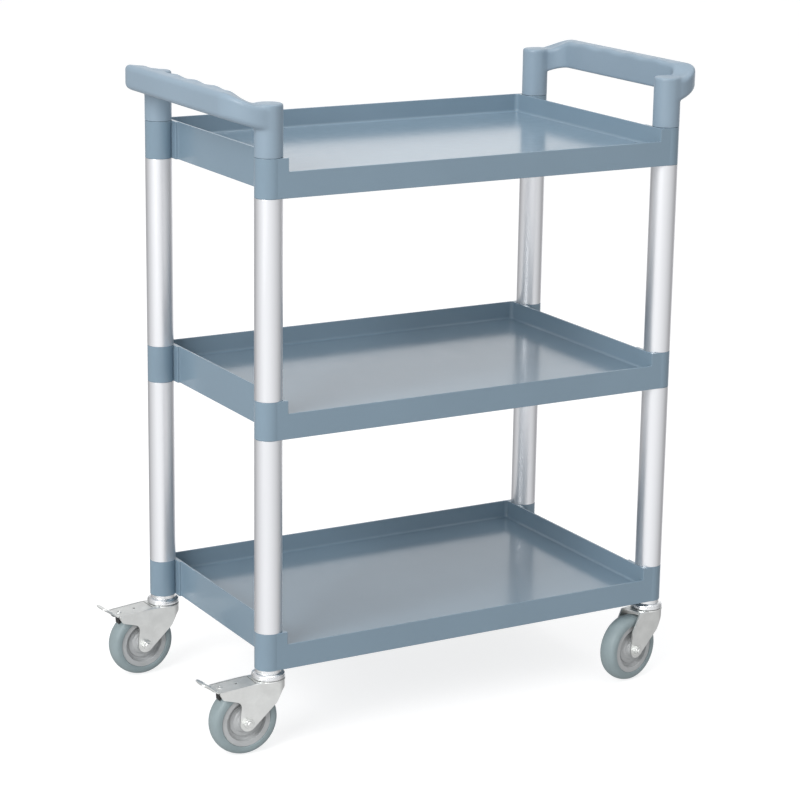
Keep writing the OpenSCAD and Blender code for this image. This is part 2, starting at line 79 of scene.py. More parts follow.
FIT = 0.02          # how far pressed pieces stand off each other in the frame
upper_low, upper_high = box_mm("upper_tube_front_right")
lower_low, lower_high = box_mm("lower_tube_front_right")
POST_X = (upper_low.x + upper_high.x) / 2
POST_Y = -(upper_low.y + upper_high.y) / 2
TUBE_R = (upper_high.x - upper_low.x) / 2
PITCH = upper_high.z - lower_high.z
COLLAR_TOP = upper_low.z - FIT + PITCH
COLLAR_BOTTOM = upper_high.z + FIT
SPIGOT_LEN = box_mm("top_tray")[1].z - COLLAR_TOP
tyre_low, tyre_high = box_mm("front_left_tyre")
FLOOR_Z = tyre_low.z
WHEEL_R = (tyre_high.z - tyre_low.z) / 2
CASTER_H = COLLAR_BOTTOM - 2 * PITCH - FLOOR_Z
GRIP_OUT = box_mm("right_handle")[1].x - POST_X

# ------------------------------------------------------------ other sizes, in mm

# Trays, up from the deck's top face
TUBE_WALL = 1.5
SPIGOT_R = 17.4
BORE_R = 13.5
WALL = 3.0
WALL_X = 296.0
WALL_Y = 191.6
FLAT_X = 299.6
FLAT_Y = 145.5
LIP_Z = 9.0
RIB_LOW = -16.0
RIB_T = 2.2
RIBS_X = 7
RIBS_Y = 3
SOCKET_R = 12.0
SOCKET_LEN = 38.0
SOCKET_ROOF = 4.0

# Handles, up from the collars they stand on
LEG_H = 70.0
SEAM = 0.6          # groove between a handle's leg and the collar it stands on
BAND_H = 35.0
RISE = 14.0
RISE_FROM = 18.0    # distance from the leg's axis where the top starts to rise
RISE_TO = 58.0
SLOPE_STOP = 6.0    # the underside's slope ends this far inside the grip's face
LEG_DROP = 3.0      # the underside meets the leg this much lower
GRIP_IN = GRIP_OUT - 27.0
ARM_HALF = 17.5
OUT_CORNER = 50.0
IN_CORNER = 24.0
WAVE_DEPTH = 1.1    # finger waves on the grip's inner top edge
WAVE_PITCH = 60.0
WAVE_END = 150.0    # distance from the grip's middle where they have faded out

# Casters, up from the floor under the swivel axis; x follows the trail
TRAIL = 38.5
SHEET = 2.5
CROWN_TOP = 103.5
FORK_OUT = 19.0
FORK_IN = FORK_OUT - SHEET
CROWN_R = 23.5
STEM_R = 6.0
AXLE = WHEEL_R
BOLT_HOLE_R = 4.1
HEX_R = 7.5         # corners of the axle's bolt head and nut
HEX_CHAMFER = 1.4
HEAD_H = 4.0
NUT_H = 5.5
PIN_X = 63.0
PIN_H = 95.0
PEDAL_SLOPE = 4.3
PLATE_LOW = 3.6
PLATE_T = 1.6
RIVET_X = 9.5
SMALL_HOLE_R = 2.02 # in the fork for the pin, in the plate and shoe for the rivet
SHOE_GAP = 1.45     # between the released shoe and the tyre
DIMPLE_X = -15.0

# ------------------------------------------------------------ shape helpers


def arc(cx, cy, r, a0, a1, n):
    """Points on an arc, angles in degrees."""
    turn = [math.radians(a0 + (a1 - a0) * i / n) for i in range(n + 1)]
    return [(cx + r * math.cos(a), cy + r * math.sin(a)) for a in turn]


def fillet(corners, steps=4, closed=True):
    """Rounds a polygon given as (x, y) or (x, y, radius) corners."""
    out = []
    count = len(corners)
    for i, c in enumerate(corners):
        p = Vector(c[:2])
        r = c[2] if len(c) > 2 else 0.0
        if r <= 0 or (not closed and i in (0, count - 1)):
            out.append(tuple(p))
            continue
        a = Vector(corners[i - 1][:2]) - p
        b = Vector(corners[(i + 1) % count][:2]) - p
        la, lb = a.length, b.length
        a.normalize()
        b.normalize()
        half = math.acos(max(-1.0, min(1.0, a.dot(b)))) / 2
        if half > 1.56:
            out.append(tuple(p))
            continue
        cut = min(r / math.tan(half), 0.49 * la, 0.49 * lb)
        r = cut * math.tan(half)
        centre = p + (a + b).normalized() * (r / math.sin(half))
        v0 = p + a * cut - centre
        v1 = p + b * cut - centre
        a0 = math.atan2(v0.y, v0.x)
        turn = math.atan2(v0.x * v1.y - v0.y * v1.x, v0.dot(v1))
        for k in range(steps + 1):
            t = a0 + turn * k / steps
            out.append((centre.x + r * math.cos(t), centre.y + r * math.sin(t)))
    return out


def prism(points, low, high):
    """An upright prism on an x, y outline."""
    bm = bmesh.new()
    bottom = [bm.verts.new((x, y, low)) for x, y in points]
    top = [bm.verts.new((x, y, high)) for x, y in points]
    bm.faces.new(bottom[::-1])
    bm.faces.new(top)
    for i in range(len(points)):
        j = (i + 1) % len(points)
        bm.faces.new((bottom[i], bottom[j], top[j], top[i]))
    bmesh.ops.recalc_face_normals(bm, faces=bm.faces)
    return bm


def slab(points, y0, y1):
    """A prism lying across, on an x, z outline."""
    bm = prism(points, y0, y1)
    for v in bm.verts:
        v.co = (v.co.x, v.co.z, v.co.y)
    bmesh.ops.recalc_face_normals(bm, faces=bm.faces)
    return bm


def boxes(*pairs):
    """Boxes from pairs of lowest and highest corners."""
    bm = bmesh.new()
    for low, high in pairs:
        made = bmesh.ops.create_cube(bm, size=1.0)["verts"]
        for v in made:
            for k in range(3):
                v.co[k] = high[k] if v.co[k] > 0 else low[k]
    return bm


def lathe(profile, segments=128, closed=True):
    """Turns an (r, z) profile round Z. An open profile starts and ends on the axis."""
    bm = bmesh.new()
    rings = []
    for r, z in profile:
        if r < 1e-6:
            rings.append([bm.verts.new((0, 0, z))])
            continue
        rings.append([bm.verts.new((r * math.cos(2 * math.pi * i / segments),
                                    r * math.sin(2 * math.pi * i / segments), z))
                      for i in range(segments)])
    for a, b in zip(rings, rings[1:] + (rings[:1] if closed else [])):
        for i in range(segments):
            j = (i + 1) % segments
            if len(a) == 1 and len(b) == 1:
                continue
            if len(a) == 1:
                bm.faces.new((a[0], b[j], b[i]))
            elif len(b) == 1:
                bm.faces.new((a[i], a[j], b[0]))
            else:
                bm.faces.new((a[i], a[j], b[j], b[i]))
    bmesh.ops.recalc_face_normals(bm, faces=bm.faces)
    return bm


def rod(r, low, high, segments):
    """A plain round bar about Z, mostly used to cut holes."""
    return lathe([(0, low), (r, low), (r, high), (0, high)], segments, closed=False)


def moved(bm, matrix):
    bmesh.ops.transform(bm, matrix=matrix, verts=bm.verts)
    return bm


def shift(x=0.0, y=0.0, z=0.0):
    return Matrix.Translation((x, y, z))


def across(x, h):
    """Lays a shape drawn about Z across the caster, its +Z along +Y."""
    return shift(x, 0, h) @ Matrix.Rotation(math.radians(-90), 4, "X")


def joined(*shapes):
    """Several shapes as one, without cutting them."""
    out = bmesh.new()
    for bm in shapes:
        mesh = bpy.data.meshes.new("joined")
        bm.to_mesh(mesh)
        bm.free()
        out.from_mesh(mesh)
        bpy.data.meshes.remove(mesh)
    return out


def solid(bm):
    """A working object that holds a shape while it is cut, joined or softened."""
    mesh = bpy.data.meshes.new("work")
    bm.to_mesh(mesh)
    bm.free()
    obj = bpy.data.objects.new("work", mesh)
    bpy.context.scene.collection.objects.link(obj)
    return obj


def settle(obj):
    """Applies the modifiers of a working object."""
    graph = bpy.context.evaluated_depsgraph_get()
    mesh = bpy.data.meshes.new_from_object(obj.evaluated_get(graph))
    obj.modifiers.clear()
    old = obj.data
    obj.data = mesh
    bpy.data.meshes.remove(old)
    return obj


def combine(obj, bm, operation):
    other = solid(bm)
    mod = obj.modifiers.new("combine", "BOOLEAN")
    mod.operation = operation
    mod.solver = "EXACT"
    mod.object = other
    settle(obj)
    mesh = other.data
    bpy.data.objects.remove(other)
    bpy.data.meshes.remove(mesh)
    return obj


def cleaned(obj, angle=0.3):
    """Merges doubled points and flat neighbours left by cutting."""
    bm = bmesh.new()
    bm.from_mesh(obj.data)
    bmesh.ops.remove_doubles(bm, verts=bm.verts, dist=0.002)
    bmesh.ops.dissolve_limit(bm, angle_limit=math.radians(angle), verts=bm.verts, edges=bm.edges)
    bm.to_mesh(obj.data)
    bm.free()
    return obj


def softened(obj, width, segments=2, angle=40.0, clamp=True):
    """Rounds every edge sharper than the angle."""
    mod = obj.modifiers.new("soften", "BEVEL")
    mod.width = width
    mod.segments = segments
    mod.limit_method = "ANGLE"
    mod.angle_limit = math.radians(angle)
    mod.use_clamp_overlap = clamp
    mod.miter_outer = "MITER_ARC"
    return settle(obj)


def round_edges(bm, width, segments, keep):
    """Rounds the edges for which keep(first point, second point) is true."""
    edges = [e for e in bm.edges if keep(e.verts[0].co, e.verts[1].co)]
    bmesh.ops.bevel(bm, geom=edges, offset=width, segments=segments, profile=0.5,
                    affect="EDGES", clamp_overlap=True)
    return bm


def piece(name, shape, body, slot, nodes, place=None, angle=32.0, weigh=True):
    """Shows a shape drawn in mm as a piece that rides a body and stands for CAD nodes."""
    obj = shape if isinstance(shape, bpy.types.Object) else solid(shape)
    obj.name = name
    obj.data.name = name
    obj.data.transform(Matrix.Scale(MM, 4) @ (place or Matrix.Identity(4)))
    if (place or Matrix.Identity(4)).determinant() < 0:
        obj.data.flip_normals()
    obj.data.shade_smooth()
    obj.data.set_sharp_from_angle(angle=math.radians(angle))
    if weigh:
        mod = obj.modifiers.new("normals", "WEIGHTED_NORMAL")
        mod.keep_sharp = True
        mod.weight = 50
    obj.data.materials.clear()
    obj.data.materials.append(LOOKS[slot])
    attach(obj, body)
    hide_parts(*nodes)
    return obj


def copied(obj):
    new = bpy.data.objects.new("work", obj.data.copy())
    bpy.context.scene.collection.objects.link(new)
    return new


def discard(obj):
    mesh = obj.data
    bpy.data.objects.remove(obj)
    bpy.data.meshes.remove(mesh)


# ------------------------------------------------------------ looks


class Graph:
    """Short hand for building a material's nodes."""

    def __init__(self, name):
        self.material = bpy.data.materials.new(name)
        self.material.use_nodes = True
        self.tree = self.material.node_tree
        self.shader = self.tree.nodes["Principled BSDF"]
        self.where = self.tree.nodes.new("ShaderNodeTexCoord").outputs["Object"]

    def node(self, kind, **values):
        n = self.tree.nodes.new(kind)
        for key, value in values.items():
            setattr(n, key, value)
        return n

    def link(self, a, b):
        self.tree.links.new(a, b)

    def noise(self, scale, detail=2.0, stretch=(1, 1, 1), rough=0.5):
        place = self.node("ShaderNodeMapping")
        place.inputs["Scale"].default_value = stretch
        self.link(self.where, place.inputs["Vector"])
        n = self.node("ShaderNodeTexNoise")
        n.inputs["Scale"].default_value = scale
        n.inputs["Detail"].default_value = detail
        n.inputs["Roughness"].default_value = rough
        self.link(place.outputs["Vector"], n.inputs["Vector"])
        return n.outputs["Fac"]

    def ramp(self, source, low, high, start=0.3, end=0.7):
        n = self.node("ShaderNodeMapRange")
        n.inputs["From Min"].default_value = start
        n.inputs["From Max"].default_value = end
        n.inputs["To Min"].default_value = low
        n.inputs["To Max"].default_value = high
        self.link(source, n.inputs["Value"])
        return n.outputs["Result"]

    def blend(self, source, first, second):
        n = self.node("ShaderNodeMix", data_type="RGBA")
        self.link(source, n.inputs["Factor"])
        n.inputs["A"].default_value = (*first, 1)
        n.inputs["B"].default_value = (*second, 1)
        return n.outputs["Result"]

    def bump(self, height, distance, strength=1.0):
        n = self.node("ShaderNodeBump")
        n.inputs["Distance"].default_value = distance
        n.inputs["Strength"].default_value = strength
        self.link(height, n.inputs["Height"])
        self.link(n.outputs["Normal"], self.shader.inputs["Normal"])

    def set(self, **values):
        for key, value in values.items():
            self.shader.inputs[key.replace("_", " ")].default_value = value


def shade(colour, factor):
    return tuple(min(1.0, c * factor) for c in colour)


def look(name, colour, change, rough, rough_change, grain, grain_depth, metal=0.0,
         mottle=7.0, stretch=(1, 1, 1), **more):
    """A surface whose tone drifts by change and whose gloss drifts by rough_change.
    grain is how many bumps there are to a metre."""
    g = Graph(name)
    drift = g.noise(mottle, 3.0, stretch)
    g.link(g.blend(g.ramp(drift, 0, 1), shade(colour, 1 - change), shade(colour, 1 + change)),
           g.shader.inputs["Base Color"])
    gloss = g.noise(mottle * 9, 4.0, stretch)
    g.link(g.ramp(gloss, rough - rough_change, rough + rough_change), g.shader.inputs["Roughness"])
    g.bump(g.noise(grain, 2.0, stretch), grain_depth)
    g.set(Metallic=metal, **more)
    return g.material


LOOKS = {
    "tray_plastic": look("tray_plastic", (0.203, 0.286, 0.356), 0.03, 0.17, 0.03, 700, 0.000002,
                         IOR=1.5),
    "handle_plastic": look("handle_plastic", (0.255, 0.335, 0.408), 0.03, 0.40, 0.04, 1500,
                           0.00001, IOR=1.48),
    "tube_aluminium": look("tube_aluminium", (0.78, 0.79, 0.81), 0.02, 0.36, 0.04, 2600, 0.000008,
                           metal=1.0, mottle=30, stretch=(1, 1, 0.02)),
    "zinc_steel": look("zinc_steel", (0.75, 0.76, 0.745), 0.06, 0.44, 0.07, 1400, 0.00001,
                       metal=1.0, mottle=60),
    "bright_steel": look("bright_steel", (0.80, 0.81, 0.82), 0.02, 0.26, 0.03, 900, 0.000003,
                         metal=1.0, mottle=50),
    "tyre_rubber": look("tyre_rubber", (0.268, 0.330, 0.345), 0.06, 0.50, 0.07, 1800, 0.00004,
                        mottle=40, IOR=1.5),
    "hub_plastic": look("hub_plastic", (0.475, 0.488, 0.492), 0.04, 0.42, 0.06, 1500, 0.00003,
                        mottle=40, IOR=1.5),
    "socket_nylon": look("socket_nylon", (0.035, 0.037, 0.042), 0.1, 0.5, 0.06, 1500, 0.00003),
    "shoe_rubber": look("shoe_rubber", (0.016, 0.016, 0.017), 0.15, 0.62, 0.08, 2200, 0.00006,
                        mottle=60),
}

# ------------------------------------------------------------ trays


def tray_body():
    """Deck, walls, lips, corner flats and ribs of one tray, with rounded edges."""
    quarter = [(WALL_X, FLAT_Y), (FLAT_X, FLAT_Y), (FLAT_X, WALL_Y - WALL), (POST_X, WALL_Y - WALL),
               (POST_X, WALL_Y)]
    outline = (quarter + [(-x, y) for x, y in quarter[::-1]]
               + [(-x, -y) for x, y in quarter] + [(x, -y) for x, y in quarter[::-1]])
    obj = solid(prism(outline, COLLAR_BOTTOM, COLLAR_TOP))
    in_x, in_y = WALL_X - WALL, WALL_Y - WALL
    over = 10.0
    basin = boxes(((-in_x, -in_y, 0), (in_x, in_y, COLLAR_TOP + over)))
    round_edges(basin, 6.0, 6, lambda a, b: abs(a.z - b.z) > 1)
    round_edges(basin, 3.5, 5, lambda a, b: a.z < 0.01 and b.z < 0.01)
    combine(obj, basin, "DIFFERENCE")
    combine(obj, boxes(((-in_x, -WALL_Y - over, LIP_Z), (in_x, -in_y + 8, COLLAR_TOP + over))),
            "DIFFERENCE")
    combine(obj, boxes(((-in_x, -in_y, COLLAR_BOTTOM - over), (in_x, in_y, RIB_LOW))), "DIFFERENCE")
    step_x = 2 * WALL_X / (RIBS_X + 1)
    step_y = 2 * WALL_Y / (RIBS_Y + 1)
    cells = []
    for i in range(RIBS_X + 1):
        for j in range(RIBS_Y + 1):
            x0 = max(-in_x, -WALL_X + i * step_x + RIB_T / 2)
            x1 = min(in_x, -WALL_X + (i + 1) * step_x - RIB_T / 2)
            y0 = max(-in_y, -WALL_Y + j * step_y + RIB_T / 2)
            y1 = min(in_y, -WALL_Y + (j + 1) * step_y - RIB_T / 2)
            cells.append(((x0, y0, RIB_LOW - 1), (x1, y1, -WALL)))
    combine(obj, boxes(*cells), "DIFFERENCE")
    cleaned(obj)
    return softened(obj, 0.7, 3, 50.0, clamp=False)


def tray_collar(last):
    """Profile of a corner collar with its hidden spigots."""
    top = COLLAR_TOP + SPIGOT_LEN
    side = [(TUBE_R, COLLAR_BOTTOM, 0.7), (TUBE_R, COLLAR_TOP, 1.2), (SPIGOT_R, COLLAR_TOP),
            (SPIGOT_R, top, 1.0), (BORE_R, top)]
    if last:
        roof = COLLAR_BOTTOM + SOCKET_LEN
        return lathe(fillet([(0, roof), (SOCKET_R, roof), (SOCKET_R, COLLAR_BOTTOM)] + side
                            + [(BORE_R, roof + SOCKET_ROOF), (0, roof + SOCKET_ROOF)],
                            3, closed=False), closed=False)
    low = COLLAR_BOTTOM - SPIGOT_LEN
    return lathe(fillet([(BORE_R, low), (SPIGOT_R, low, 1.0), (SPIGOT_R, COLLAR_BOTTOM)] + side, 3))


def crease(obj):
    """Keeps the upright line crisp where a round collar meets the flat front or back."""
    off = math.sqrt(TUBE_R ** 2 - (WALL_Y - POST_Y) ** 2)
    for e in obj.data.edges:
        ends = [obj.data.vertices[i].co / MM for i in e.vertices]
        if all(abs(POST_X - off - abs(p.x)) < 0.4 and abs(abs(p.y) - WALL_Y) < 0.1 for p in ends):
            e.use_edge_sharp = True


def tray(name, level, last, body):
    obj = copied(body)
    for x in (-POST_X, POST_X):
        for y in (-POST_Y, POST_Y):
            combine(obj, moved(tray_collar(last), shift(x, y)), "UNION")
    obj = piece(name + "_moulding", obj, "frame", "tray_plastic", [name], shift(z=-level * PITCH))
    crease(obj)


shell = tray_body()
tray("top_tray", 0, False, shell)
tray("middle_tray", 1, False, shell)
tray("bottom_tray", 2, True, shell)
discard(shell)

# ------------------------------------------------------------ handles


def ease(t):
    t = np.clip(t, 0, 1)
    return t * t * (3 - 2 * t)


def rounded_corner(a, b, r):
    """Distance outside the corner where two distances meet, rounded by r."""
    a, b = a + r, b + r
    return np.hypot(np.maximum(a, 0), np.maximum(b, 0)) + np.minimum(np.maximum(a, b), 0) - r


def merged(a, b, r):
    """The nearer of two distances, blended where they meet."""
    h = np.maximum(r - np.abs(a - b), 0) / r
    return np.minimum(a, b) - h * h * r / 4


def handle_field(p):
    """Distance outside a handle. x runs outboard from the posts, z up from the collars."""
    x, y, z = p[:, 0], p[:, 1], p[:, 2]
    side = np.abs(y)
    leg = rounded_corner(np.hypot(x, side - POST_Y) - TUBE_R, z - LEG_H, 3.0)
    half_out, half_in = POST_Y + ARM_HALF, POST_Y - ARM_HALF
    outer = rounded_corner(x - GRIP_OUT, side - half_out, OUT_CORNER)
    inner = rounded_corner(x - GRIP_IN, side - half_in, IN_CORNER)
    rise = RISE * ease((np.hypot(x, side - POST_Y) - RISE_FROM) / (RISE_TO - RISE_FROM))
    slope = (RISE + LEG_DROP) * np.clip(x / (GRIP_OUT - SLOPE_STOP), 0, 1) - LEG_DROP
    inboard = ease((GRIP_IN + 16 - x) / 16) * ease((x - GRIP_IN + 12) / 10)
    wave = (WAVE_DEPTH * np.cos(2 * math.pi * (side - WAVE_PITCH / 2) / WAVE_PITCH) * inboard
            * ease((WAVE_END - side) / 20))
    top = z - rise - (LEG_H - 0.6) - wave
    low = LEG_H - BAND_H + slope - z
    shell_out = rounded_corner(outer, top, 8.0)
    shell_out = np.maximum(shell_out, rounded_corner(outer, low, 8.0))
    shell_in = np.maximum(rounded_corner(-inner, top, 6.0), rounded_corner(-inner, low, 4.0))
    band = np.maximum(np.maximum(shell_out, shell_in), -x)
    return merged(leg, band, 2.5)


def mesh_of_field(field, low, high, step):
    """Faces round the region where the field is negative, pulled onto its zero surface."""
    axes = [np.arange(a, b + step, step) for a, b in zip(low, high)]
    grid = np.stack(np.meshgrid(*axes, indexing="ij"), -1)
    inside = (field(grid.reshape(-1, 3)) < 0).reshape(grid.shape[:3])
    count = np.zeros([n - 1 for n in inside.shape], int)
    for i in (0, 1):
        for j in (0, 1):
            for k in (0, 1):
                count += inside[i:i + count.shape[0], j:j + count.shape[1], k:k + count.shape[2]]
    cell = (count > 0) & (count < 8)
    index = np.full(cell.shape, -1)
    index[cell] = np.arange(cell.sum())
    points = np.argwhere(cell) * step + np.array([a[0] for a in axes]) + step / 2
    faces = []
    for axis in range(3):
        before = [slice(None)] * 3
        after = [slice(None)] * 3
        before[axis], after[axis] = slice(None, -1), slice(1, None)
        change = inside[tuple(before)] != inside[tuple(after)]
        out = inside[tuple(before)] & change
        u, v = (axis + 1) % 3, (axis + 2) % 3
        for at in np.argwhere(change):
            if at[u] == 0 or at[v] == 0 or at[u] >= index.shape[u] or at[v] >= index.shape[v]:
                continue
            quad = []
            for du, dv in ((-1, -1), (0, -1), (0, 0), (-1, 0)):
                c = at.copy()
                c[u] += du
                c[v] += dv
                quad.append(int(index[tuple(c)]))
            faces.append(quad if out[tuple(at)] else quad[::-1])
    for _ in range(10):
        value = field(points)
        slope = np.stack([(field(points + e) - field(points - e)) / 0.1
                          for e in np.eye(3) * 0.05], -1)
        size = np.maximum((slope ** 2).sum(1), 0.25)
        points = points - slope * np.clip(value / size, -1, 1)[:, None]
    mesh = bpy.data.meshes.new("field")
    mesh.from_pydata(points.tolist(), [], faces)
    bm = bmesh.new()
    bm.from_mesh(mesh)
    bpy.data.meshes.remove(mesh)
    return bm


def handle():
    step = 1.7
    bm = mesh_of_field(handle_field, (-21, -POST_Y - 22, -6), (GRIP_OUT + 3, POST_Y + 22, 90), step)
    cut = bmesh.ops.bisect_plane(bm, geom=bm.verts[:] + bm.edges[:] + bm.faces[:],
                                 plane_co=(0, 0, SEAM), plane_no=(0, 0, -1), clear_outer=True)
    rim = [e for e in cut["geom_cut"] if isinstance(e, bmesh.types.BMEdge)]
    bmesh.ops.holes_fill(bm, edges=rim, sides=0)
    bmesh.ops.recalc_face_normals(bm, faces=bm.faces)
    obj = solid(bm)
    for y in (-POST_Y, POST_Y):
        combine(obj, moved(rod(SPIGOT_R + 0.1, -1, SPIGOT_LEN + 1, 128), shift(0, y)), "DIFFERENCE")
    return obj


grip = handle()
lift = shift(z=COLLAR_TOP)
piece("right_handle_moulding", copied(grip), "frame", "handle_plastic", ["right_handle"],
      shift(POST_X) @ lift, angle=50.0, weigh=False)
piece("left_handle_moulding", grip, "frame", "handle_plastic", ["left_handle"],
      shift(-POST_X) @ lift @ Matrix.Scale(-1, 4, (1, 0, 0)), angle=50.0, weigh=False)

# ------------------------------------------------------------ posts

for tier, (low, high) in (("upper", (upper_low.z, upper_high.z)),
                          ("lower", (lower_low.z, lower_high.z))):
    for corner, x, y in (("front_left", -1, -1), ("back_left", -1, 1),
                         ("front_right", 1, -1), ("back_right", 1, 1)):
        inner = TUBE_R - TUBE_WALL
        profile = fillet([(inner, low, 0.2), (TUBE_R, low, 0.35), (TUBE_R, high, 0.35),
                          (inner, high, 0.2)], 2)
        node = f"{tier}_tube_{corner}"
        piece(node + "_post", lathe(profile), "frame", "tube_aluminium", [node],
              shift(x * POST_X, y * POST_Y))

# ------------------------------------------------------------ casters


def rear_plan(half, rear, corner, front):
    """Plan of the fork: two straight sides joined by a rounded back."""
    return fillet([(front, -half), (-rear, -half, corner), (-rear, half, corner), (front, half)], 14)


def fork(braked):
    """Pressed sheet: a crown, a wall that wraps round the back and two legs."""
    front = 84.0 if braked else 62.0
    skin = prism(rear_plan(FORK_OUT, 21.5, 14.0, front), 30, CROWN_TOP)
    round_edges(skin, 2.2, 4, lambda a, b: a.z > CROWN_TOP - 0.01 and b.z > CROWN_TOP - 0.01)
    obj = solid(skin)
    combine(obj, lathe(fillet([(0, CROWN_TOP - SHEET), (CROWN_R, CROWN_TOP - SHEET, 0.8),
                               (CROWN_R, CROWN_TOP, 1.0), (0, CROWN_TOP)], 3, closed=False),
                       closed=False), "UNION")
    combine(obj, prism(rear_plan(FORK_IN, 21.5 - SHEET, 14.0 - SHEET, front + 5), 20,
                       CROWN_TOP - SHEET), "DIFFERENCE")
    neck = 24.9 if braked else 30.5
    combine(obj, prism(fillet([(front + 5, -FORK_IN), (neck, -FORK_IN, 1.5), (neck, FORK_IN, 1.5),
                               (front + 5, FORK_IN)]), 60, CROWN_TOP + 5), "DIFFERENCE")
    back = [(-30, CROWN_TOP + 3), (-30, 93), (-20.5, 93, 6), (-13.5, 88, 10), (-4.5, 71.5, 30)]
    end = arc(TRAIL, AXLE, 12.0, 228, 360, 18)
    if braked:
        front_edge = ([(TRAIL + 11.5, 60, 12), (48.5, 71.5, 4)] + arc(57.5, 73, 9, 172, 112, 8)
                      + [(75.5, 87.8, 5), (80.2, 95.5, 3), (79.6, 99.2, 1.5),
                         (24, CROWN_TOP - 0.1, 8), (14, CROWN_TOP + 3)])
    else:
        front_edge = [(TRAIL + 9, AXLE + 28, 30), (37.5, 95, 14), (31.5, CROWN_TOP + 3)]
    side = fillet(back, 6, closed=False) + end + fillet([(TRAIL + 12, 50)] + front_edge, 6,
                                                        closed=False)[1:]
    combine(obj, slab(side, -40, 40), "INTERSECT")
    combine(obj, rod(STEM_R + 0.1, 90, 110, 48), "DIFFERENCE")
    combine(obj, moved(rod(BOLT_HOLE_R, -30, 30, 48), across(TRAIL, AXLE)), "DIFFERENCE")
    if braked:
        combine(obj, moved(rod(SMALL_HOLE_R, -30, 30, 32), across(PIN_X, PIN_H)), "DIFFERENCE")
    cleaned(obj)
    return softened(obj, 0.35, 2, 50.0)


def tyre():
    """A slightly crowned tread with round shoulders and flat sides."""
    half, shoulder = 14.0, 8.0
    centre = WHEEL_R - 1.2 - shoulder
    low = arc(centre, -half + shoulder, shoulder, -90, -20, 12)
    crown_w = -low[-1][1]
    drop = (WHEEL_R - low[-1][0]) / crown_w ** 2
    crown = [(WHEEL_R - drop * z * z, z) for z in np.linspace(-crown_w, crown_w, 15)[1:-1]]
    side = [(36.0, -half + 1.5), (36.4, -half + 0.5), (37.2, -half)]
    profile = side + low + crown + [(r, -z) for r, z in low[::-1]] + [(r, -z) for r, z in side[::-1]]
    return lathe(profile, 160)


def hub():
    """Plastic wheel centre: a boss, a thin web and a rim."""
    half = [(6.05, 16.2), (11.4, 16.2, 0.8), (12.2, 10.5, 1.2), (15.5, 9.4, 1.2), (17.5, 7.6, 1.0),
            (22.4, 7.2, 0.8), (23.4, 5.6, 0.8), (27.8, 5.2, 1.4), (28.7, 12.5, 0.7),
            (35.97, 12.5, 0.3)]
    return lathe(fillet([(r, -z, *w) for r, z, *w in half] + half[::-1], 3), 160)


def hexagon(corner_r, z0, z1, chamfer, bore):
    """A hexagon head or nut with its corners chamfered on the outer side. Bore 0 leaves it solid."""
    count = 72
    bm = bmesh.new()
    flat = corner_r * math.cos(math.radians(30))
    levels = [(z0, corner_r), (z1 - chamfer, corner_r), (z1 - chamfer * 0.45, corner_r - 0.35),
              (z1, flat - 0.3)]
    rings = []
    for z, limit in levels:
        ring = []
        for i in range(count):
            a = 2 * math.pi * i / count
            off = (a % (math.pi / 3)) - math.pi / 6
            r = min(flat / math.cos(off), limit)
            ring.append(bm.verts.new((r * math.cos(a), r * math.sin(a), z)))
        rings.append(ring)
    caps = []
    for z in (z0, z1):
        if bore:
            caps.append([bm.verts.new((bore * math.cos(2 * math.pi * i / count),
                                       bore * math.sin(2 * math.pi * i / count), z))
                         for i in range(count)])
        else:
            caps.append([bm.verts.new((0, 0, z))])
    order = [caps[0]] + rings + [caps[1]]
    pairs = list(zip(order, order[1:])) + ([(caps[1], caps[0])] if bore else [])
    for a, b in pairs:
        for i in range(count):
            j = (i + 1) % count
            if len(a) == 1:
                bm.faces.new((a[0], b[j], b[i]))
            elif len(b) == 1:
                bm.faces.new((a[i], a[j], b[0]))
            else:
                bm.faces.new((a[i], a[j], b[j], b[i]))
    bmesh.ops.recalc_face_normals(bm, faces=bm.faces)
    return bm


def axle_bolt():
    """A hexagon head, a plain shank and a thread drawn as rings where the nut sits."""
    seat = FORK_OUT + FIT
    tail = seat + NUT_H + 2.0
    thread = []
    z = seat - 1.0
    while z < tail - 0.8:
        thread += [(3.9, z), (3.6, z + 0.35)]
        z += 0.7
    shank = lathe([(0, -seat), (4.0, -seat), (4.0, seat - 1.4)] + thread
                  + [(3.9, tail - 0.5), (3.4, tail), (0, tail)], 48, closed=False)
    head = moved(hexagon(HEX_R, 0, HEAD_H, HEX_CHAMFER, 0),
                 shift(z=-seat) @ Matrix.Rotation(math.pi, 4, "X"))
    return moved(joined(shank, head), across(TRAIL, AXLE))


def axle_nut():
    return moved(hexagon(HEX_R, 0, NUT_H, HEX_CHAMFER, 4.05),
                 across(TRAIL, AXLE) @ shift(z=FORK_OUT + FIT))


def race_cap():
    """Ring between collar and fork: a neck above, a wide grooved rim on the crown."""
    low, high = 103.9, CASTER_H - FIT
    rim = [(18.0, low + 8.6, 0.8), (20.6, low + 7.8, 1.2), (22.6, low + 6.6, 0.8),
           (23.2, low + 4.9, 0.5), (22.7, low + 4.3, 0.3), (23.3, low + 3.7, 0.4),
           (23.3, low + 1.2, 0.8), (22.3, low, 0.4)]
    under = [(17.4, low), (17.4, low + 5.2, 1.0), (10.6, low + 5.2, 1.0), (10.6, low)]
    profile = [(STEM_R + FIT, low), (STEM_R + FIT, high), (18.0, high, 0.4)] + rim + under
    return lathe(fillet(profile, 4), 128)


def on_pedal():
    return shift(PIN_X, 0, PIN_H) @ Matrix.Rotation(math.radians(PEDAL_SLOPE), 4, "Y")


